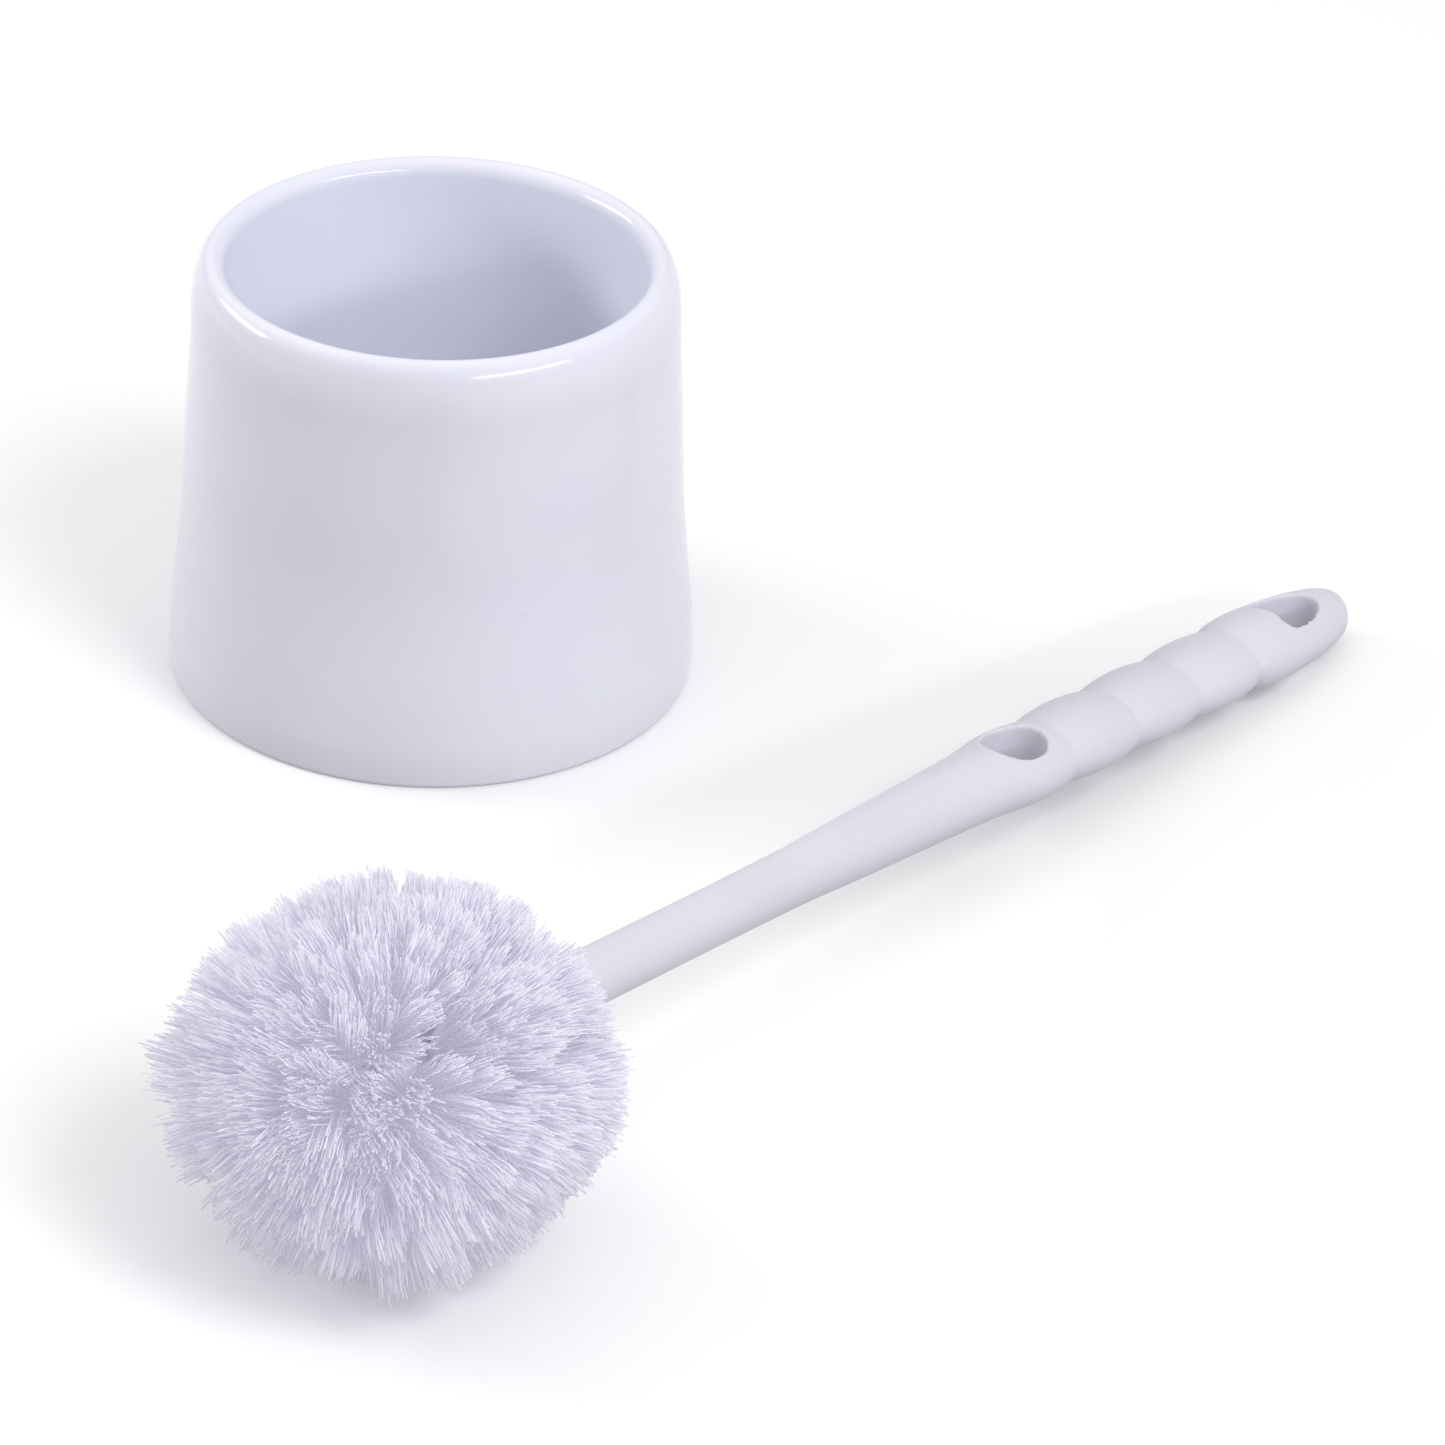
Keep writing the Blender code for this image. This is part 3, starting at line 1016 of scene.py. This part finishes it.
@dataclass
class Tuft:
    """One tuft: filaments that leave a socket together and fan out to the head's outline."""

    name: str
    pose: Matrix
    ring: TuftRing
    shape: TuftShape
    seed: int

    def mesh(self, trim: Trim, brush: Matrix) -> Mesh:
        """Lays every filament of the tuft.

        Args:
            trim: How the head is trimmed.
            brush: The brush's pose, in metres, which says where the floor is.

        Returns:
            The mesh in the brush's own frame.
        """
        shape, rng = self.shape, np.random.default_rng(self.seed)
        count, nodes = shape.strands, shape.segments + 1
        # Where each strand stands in its socket, and which lock it clings to.
        spot = self._sunflower(count) + rng.normal(0, 0.35 / math.sqrt(count), (count, 2))
        centres = self._sunflower(shape.locks) + rng.normal(0, 0.07, (shape.locks, 2))
        lock = np.linalg.norm(spot[:, None] - centres[None], axis=2).argmin(axis=1)
        # How the strands and the locks fan out, and the few strands that stray.
        opening = math.tan(math.radians(self.ring.spread_deg))
        scatter = rng.normal(0, 0.03, (count, 2))
        stray = rng.uniform(0, 1, count) < shape.stray_share
        scatter[stray] = rng.normal(0, shape.stray_opening, (int(stray.sum()), 2))
        aim = spot * opening + scatter
        lock_aim = centres * opening * 1.05 + rng.normal(0, 0.02, (shape.locks, 2))
        # How long each strand is cut.
        turn = np.array(self.pose)
        heading = np.column_stack([aim, np.ones(count)])
        norm = np.linalg.norm(heading, axis=1, keepdims=True)
        start = np.column_stack([spot * shape.plug_radius, np.zeros(count)])
        world_start = start @ turn[:3, :3].T + turn[:3, 3]
        world_heading = (heading / norm) @ turn[:3, :3].T
        tip = turn[:3, 2] * self.ring.length + turn[:3, 3]
        reach = trim.reach(world_start, world_heading, tip) / norm[:, 0]
        reach *= 1 - self.ring.dome * (spot**2).sum(axis=1) ** 1.5
        uneven = 1 + rng.normal(0, shape.trim_scatter, count)
        reach *= uneven * (1 + rng.normal(0, shape.lock_trim, shape.locks))[lock]
        # Each lock's crimps lie side by side, so the locks start theirs at a place of their own.
        phase = (rng.uniform(0, 1, shape.locks)[lock] + rng.normal(0, 0.12, count)) % 1
        share = (np.arange(nodes)[None] - phase[:, None]) / (nodes - 1)
        share[:, 0], share[:, -1] = 0.0, 1.0
        share = np.clip(share, 0, 1)
        along = share * reach[:, None]
        pull = shape.lock_pull * share**1.2
        slope = aim[:, None] * (1 - pull[..., None]) + lock_aim[lock][:, None] * pull[..., None]
        across = spot[:, None] * shape.plug_radius + slope * along[..., None]
        run = share[..., None]
        across += rng.normal(0, shape.wander, (count, 1, 2)) * run**2
        across += rng.normal(0, shape.lock_wander, (shape.locks, 2))[lock][:, None] * run**2.5
        wave = rng.uniform(0, 2 * math.pi, shape.locks)[lock] + rng.normal(0, 0.7, count)
        swing = shape.crimp * rng.uniform(0.55, 1.35, (count, nodes))
        swing *= np.clip(along / shape.crimp_start, 0, 1)
        swing *= np.where(np.arange(nodes) % 2, 1.0, -1.0)
        across += swing[..., None] * np.column_stack([np.cos(wave), np.sin(wave)])[:, None]
        path = np.concatenate([across, along[..., None]], axis=2)
        foot = np.column_stack([spot * shape.plug_radius, np.full(count, -shape.plug_depth)])
        path = np.concatenate([foot[:, None], path], axis=1)
        path = path @ turn[:3, :3].T + turn[:3, 3]
        path = self._above_floor(path, brush, rng)
        return self._tubes(path, rng)

    @staticmethod
    def _sunflower(count: int) -> Array:
        """Spreads points evenly over a disc of radius one.

        Args:
            count: Number of points.

        Returns:
            The points.
        """
        index = np.arange(count)
        radius = np.sqrt((index + 0.5) / count)
        angle = index * math.pi * (3 - math.sqrt(5))
        return np.column_stack([radius * np.cos(angle), radius * np.sin(angle)])

    def _above_floor(self, path: Array, brush: Matrix, rng: np.random.Generator) -> Array:
        """Bends the filaments that would reach into the floor, so that they lie on it.

        Args:
            path: Points of each filament in the brush's frame.
            brush: The brush's pose in metres.
            rng: Source of chance.

        Returns:
            The points, none below the floor.
        """
        shape, pose = self.shape, np.array(brush)
        turn, place = pose[:3, :3], pose[:3, 3] / MM
        world = path @ turn.T + place
        lowest = shape.floor_rest + rng.uniform(0, shape.floor_pile, len(path))[:, None]
        level = world[..., 2]
        level = np.where(level < lowest, lowest + (level - lowest) * shape.floor_give, level)
        world[..., 2] = np.maximum(level, shape.floor_rest)
        return (world - place) @ turn

    def _tubes(self, path: Array, rng: np.random.Generator) -> Mesh:
        """Gives each path a closed three-sided tube, thin where it leaves the socket.

        Args:
            path: Points of each filament in millimetres.
            rng: Source of chance.

        Returns:
            The mesh.
        """
        shape = self.shape
        count, nodes = path.shape[:2]
        heading = path[:, -1] - path[:, 1]
        heading /= np.linalg.norm(heading, axis=1, keepdims=True)
        side = np.cross(heading, rng.normal(0, 1, (count, 3)))
        side /= np.linalg.norm(side, axis=1, keepdims=True)
        other = np.cross(heading, side)
        turn = rng.uniform(0, 2 * math.pi, count)[:, None] + 2 * math.pi * np.arange(3) / 3
        spoke = np.cos(turn)[..., None] * side[:, None] + np.sin(turn)[..., None] * other[:, None]
        run = np.linspace(0, 1, nodes)
        thick = shape.root_radius + (shape.radius - shape.root_radius) * np.clip(run / 0.3, 0, 1)
        thick = thick[None] * rng.uniform(0.85, 1.15, count)[:, None]
        rings = path[:, :, None] + spoke[:, None] * thick[..., None, None]
        points = rings.reshape(-1, 3)
        base = (np.arange(count) * nodes * 3)[:, None, None]
        quads = (ring_faces(nodes, 3)[None] + base).reshape(-1, 4)
        caps = np.array([[2, 1, 0], [nodes * 3 - 3, nodes * 3 - 2, nodes * 3 - 1]])
        caps = (caps[None] + base).reshape(-1, 3)
        mesh = mesh_of(f"tuft_{self.name}_filaments", points, [quads, caps])
        self._lay_out(mesh, count, nodes)
        return mesh

    @staticmethod
    def _lay_out(mesh: Mesh, count: int, nodes: int) -> None:
        """Gives each filament its own cell of a flat map.

        Args:
            mesh: The tuft's mesh.
            count: Number of filaments.
            nodes: Rings of points in each.
        """
        corner = np.empty(len(mesh.loops), np.int32)
        mesh.loops.foreach_get("vertex_index", corner)
        strand, point = corner // (nodes * 3), corner % (nodes * 3)
        ring, side = point // 3, point % 3
        column = math.ceil(math.sqrt(count))
        turned = np.zeros(len(corner))
        quads = count * (nodes - 1) * 3 * 4
        first_side = np.repeat(side[:quads].reshape(-1, 4)[:, 0], 4)
        turned[:quads] = np.where((first_side == 2) & (side[:quads] == 0), 3, side[:quads])
        turned[quads:] = side[quads:]
        capped = (np.arange(len(corner)) >= quads) & (side == 1)
        lift = np.where(capped, np.where(ring > 0, 0.5, -0.5), 0.0)
        across = (strand % column + 0.15 + 0.7 * turned / 3) / column
        along = (strand // column + 0.15 + 0.7 * (ring + lift) / (nodes - 1)) / column
        layer = mesh.uv_layers.new(name="OFBake")
        layer.uv.foreach_set("vector", np.column_stack([across, along]).astype(np.float32).ravel())


@dataclass
class Brush:
    """The brush as it lies: handle, tufts and the anchors that hold them."""

    head_place: Pair = (-66.3, -117.4)
    heading_deg: float = 52.0
    floor_gap: float = 0.3
    rests_on: float = 26.0
    plug_share: float = 0.1773
    plug_depth_share: float = 0.3636
    socket_clearance: float = 0.3
    first_seed: int = 11
    handle: Handle = field(default_factory=Handle)
    trim: Trim = field(default_factory=Trim)
    shape: TuftShape = field(default_factory=TuftShape)
    rings: tuple[TuftRing, ...] = (
        TuftRing("rear", 8, 13.0, 35.0, 0.0, 26.0, 29.0, 0.2),
        TuftRing("mid", 8, 4.0, 8.0, 0.0, 26.5, 29.0, 0.25),
        TuftRing("front", 5, -5.5, -34.0, 9.0, 26.5, 42.0, 0.08),
        TuftRing("tip", 3, -11.0, -70.0, -15.0, 27.5, 52.0, 0.0),
    )

    @property
    def head_height(self) -> float:
        """How high the head's centre lies above the floor."""
        root = self.handle.head_radius_at(self.rings[1].distance)
        return root + self.rests_on + 2 * self.floor_gap

    @property
    def drop(self) -> float:
        """The handle's fall from the head, until its end meets the floor.

        Returns:
            The angle in radians.
        """
        fall = self.head_height - self.floor_gap
        angles = []
        for distance, _, height in self.handle.after_grip:
            reach, half = self.handle.grip_end + distance, height / 2
            angles.append(math.asin(fall / math.hypot(reach, half)) - math.atan2(half, reach))
        return min(angles)

    @property
    def pose(self) -> Matrix:
        """The brush's pose as it lies.

        Returns:
            The pose in metres, with +X along the handle.
        """
        place = Vector((*self.head_place, self.head_height)) * MM
        turn = Euler((0.0, self.drop, math.radians(self.heading_deg)))
        return Matrix.LocRotScale(place, turn, None)

    def sockets(self) -> list[tuple[str, Matrix, TuftRing]]:
        """Every socket of the head block.

        Returns:
            Name, pose in the brush's frame in millimetres, and ring of each.
        """
        found = []
        for ring in self.rings:
            for number in range(ring.count):
                turn_deg = ring.first_turn_deg + 360 * number / ring.count
                turn = Matrix.Rotation(math.radians(turn_deg), 4, "X")
                tilt = Matrix.Rotation(math.radians(ring.lean_deg), 4, "Y")
                radius = self.handle.head_radius_at(ring.distance)
                root = Matrix.Translation((ring.distance, 0.0, radius))
                found.append((f"{ring.name}_{number + 1}", turn @ root @ tilt, ring))
        return found

    def build(self, plastic: Material, filament: Material, steel: Material) -> int:
        """Builds the brush.

        Args:
            plastic: What the handle is made of.
            filament: What the bristles are made of.
            steel: What the anchors are made of.

        Returns:
            Number of filaments.
        """
        sockets = self.sockets()
        radius = self.plug_share * self.handle.head_radius + self.socket_clearance
        depth = self.plug_depth_share * self.handle.head_radius + self.socket_clearance
        mesh = self.handle.mesh([pose for _, pose, _ in sockets], radius, depth)
        brush = (self.pose, Body.BRUSH)
        add_piece("brush_handle_moulding", mesh, *brush, Slot.HANDLE, plastic, "brush_handle")
        LOG.info("handle: %d faces", len(mesh.polygons))
        for seed, (name, pose, ring) in enumerate(sockets, start=self.first_seed):
            mesh = Tuft(name, pose, ring, self.shape, seed).mesh(self.trim, self.pose)
            piece, node = f"tuft_{name}_filaments", f"tuft_{name}"
            add_piece(piece, mesh, *brush, Slot.BRISTLE, filament, node)
            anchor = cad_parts[f"anchor_{name}"]
            anchor.data.materials.clear()
            anchor.data.materials.append(steel)
        return len(sockets) * self.shape.strands


# ---- studio


@dataclass(frozen=True)
class Softbox:
    """A rectangular light, aimed at the set. Azimuth turns from +X towards +Y."""

    name: str
    azimuth_deg: float
    elevation_deg: float
    distance: float
    size: Pair
    watts: float
    shows_in_gloss: bool = True

    def build(self, target: Vector) -> None:
        """Hangs the light and aims it.

        Args:
            target: Point that it faces, in metres.
        """
        data = bpy.data.lights.new(self.name, "AREA")
        data.shape, data.energy = "RECTANGLE", self.watts
        data.size, data.size_y = self.size
        light = put_in_scene(self.name, data)
        azimuth, elevation = math.radians(self.azimuth_deg), math.radians(self.elevation_deg)
        x, y = math.cos(elevation) * math.cos(azimuth), math.cos(elevation) * math.sin(azimuth)
        towards = Vector((x, y, math.sin(elevation)))
        light.location = target + towards * self.distance
        light.visible_glossy = self.shows_in_gloss
        light.rotation_mode = "QUATERNION"
        light.rotation_quaternion = towards.to_track_quat("Z", "Y")


@dataclass
class Studio:
    """A white floor, soft light all round, and the camera. Its sizes are in metres."""

    floor_size: float = 12.0
    floor_cells: int = 40
    floor_drop: float = 0.00005
    flat_share: float = 0.72
    backdrop_rise: float = 26.4
    sky_colour: str = "#ffffff"
    sky_below: float = 0.45
    sky_horizon: float = 0.35
    sky_zenith: float = 0.95
    lens: float = 149.5
    sensor: float = 36.0
    eye: Triple = (-0.00757, -1.02935, 0.66822)
    right: Triple = (0.99892, 0.02399, 0.03973)
    up: Triple = (-0.04641, 0.51642, 0.85507)
    target: Triple = (0.0, 0.0, 0.04)
    softboxes: tuple[Softbox, ...] = (
        Softbox("key_softbox", -42.0, 50.0, 3.0, (1.1, 1.1), 29.0, shows_in_gloss=False),
        Softbox("strip_softbox", -46.0, 23.0, 1.3, (1.1, 0.11), 4.4),
        Softbox("rim_softbox", 165.0, 21.0, 1.2, (0.65, 0.13), 4.8),
    )

    def build(self) -> None:
        """Builds the floor, the lights and the camera."""
        self._floor()
        self._sky()
        for softbox in self.softboxes:
            softbox.build(Vector(self.target))
        self._camera()

    def _floor(self) -> None:
        """Lays the floor, which curves up into a backdrop on all sides."""
        half, lines = self.floor_size / 2, self.floor_cells + 1
        steps = np.linspace(-1, 1, lines)
        # The cells are smallest in the middle, where the set stands.
        steps = np.sign(steps) * steps**2
        x, y = np.meshgrid(steps, steps, indexing="ij")
        beyond = np.maximum(np.hypot(x, y) - self.flat_share, 0)
        z = beyond**2 * self.backdrop_rise - self.floor_drop
        points = np.stack([x * half, y * half, z], axis=-1).reshape(-1, 3) / MM
        row = np.arange(self.floor_cells)
        first = (row[:, None] * lines + row[None]).reshape(-1, 1)
        quads = np.hstack([first, first + lines, first + lines + 1, first + 1])
        mesh = mesh_of("studio_floor", points, [quads])
        mesh.materials.append(StudioBoard().material())
        floor = put_in_scene("studio_floor", mesh)
        floor.visible_diffuse = floor.visible_shadow = False

    def _sky(self) -> None:
        """Lights the set from all sides, most of all from overhead."""
        world = bpy.data.worlds.new("studio_light_tent")
        bpy.context.scene.world = world
        world.use_nodes = True
        world.node_tree.nodes.clear()
        tree = world.node_tree
        direction = add_node(tree, "ShaderNodeTexCoord").outputs["Generated"]
        height = add_node(tree, "ShaderNodeSeparateXYZ", {0: direction}).outputs["Z"]
        above = spread(tree, height, (0.15, 0.9), (self.sky_horizon, self.sky_zenith))
        below = spread(tree, height, (-0.1, 0.0), (self.sky_below - self.sky_horizon, 0.0))
        strength = add_node(tree, "ShaderNodeMath", {0: above, 1: below}, operation="ADD")
        glow = {"Color": linear(self.sky_colour), "Strength": strength.outputs[0]}
        light = add_node(tree, "ShaderNodeBackground", glow)
        add_node(tree, "ShaderNodeOutputWorld", {"Surface": light.outputs[0]})

    def _camera(self) -> None:
        """Sets up the camera, and shows colours as they are."""
        data = bpy.data.cameras.new("camera")
        data.lens, data.sensor_width = self.lens, self.sensor
        data.clip_start, data.clip_end = 0.05, 40.0
        camera = put_in_scene("camera", data)
        right, up = Vector(self.right).normalized(), Vector(self.up).normalized()
        back = right.cross(up).normalized()
        up = back.cross(right)
        pose = Matrix((right, up, back)).transposed().to_4x4()
        pose.translation = Vector(self.eye)
        camera.matrix_world = pose
        bpy.context.scene.camera = camera
        bpy.context.scene.view_settings.view_transform = "Standard"


def main() -> None:
    """Builds the set and its studio in order."""
    logging.basicConfig(level=logging.INFO, format="%(name)s: %(message)s")
    glossy = MouldedPolypropylene(
        name="gloss_moulded_polypropylene",
        colour="#e4e4f1",
        cloud_colour="#e1e1ef",
        roughness=(0.13, 0.19),
        ripple_mm=9.0,
        ripple_depth_mm=0.05,
        grain_mm=1.6,
        grain_depth_mm=0.002,
    )
    satin = MouldedPolypropylene(
        name="satin_moulded_polypropylene",
        colour="#d2d1dc",
        cloud_colour="#cecdd9",
        roughness=(0.36, 0.46),
        ripple_mm=6.0,
        ripple_depth_mm=0.03,
        grain_mm=0.8,
        grain_depth_mm=0.004,
    )
    holder = Holder().build(glossy.material())
    LOG.info("holder: %d faces", len(holder.data.polygons))
    filament, steel = CrimpedFilament().material(), GalvanisedSteel().material()
    strands = Brush().build(satin.material(), filament, steel)
    LOG.info("bristles: %d filaments", strands)
    Studio().build()
    LOG.info("studio: floor, lights and camera")


if __name__ == "__main__":
    main()
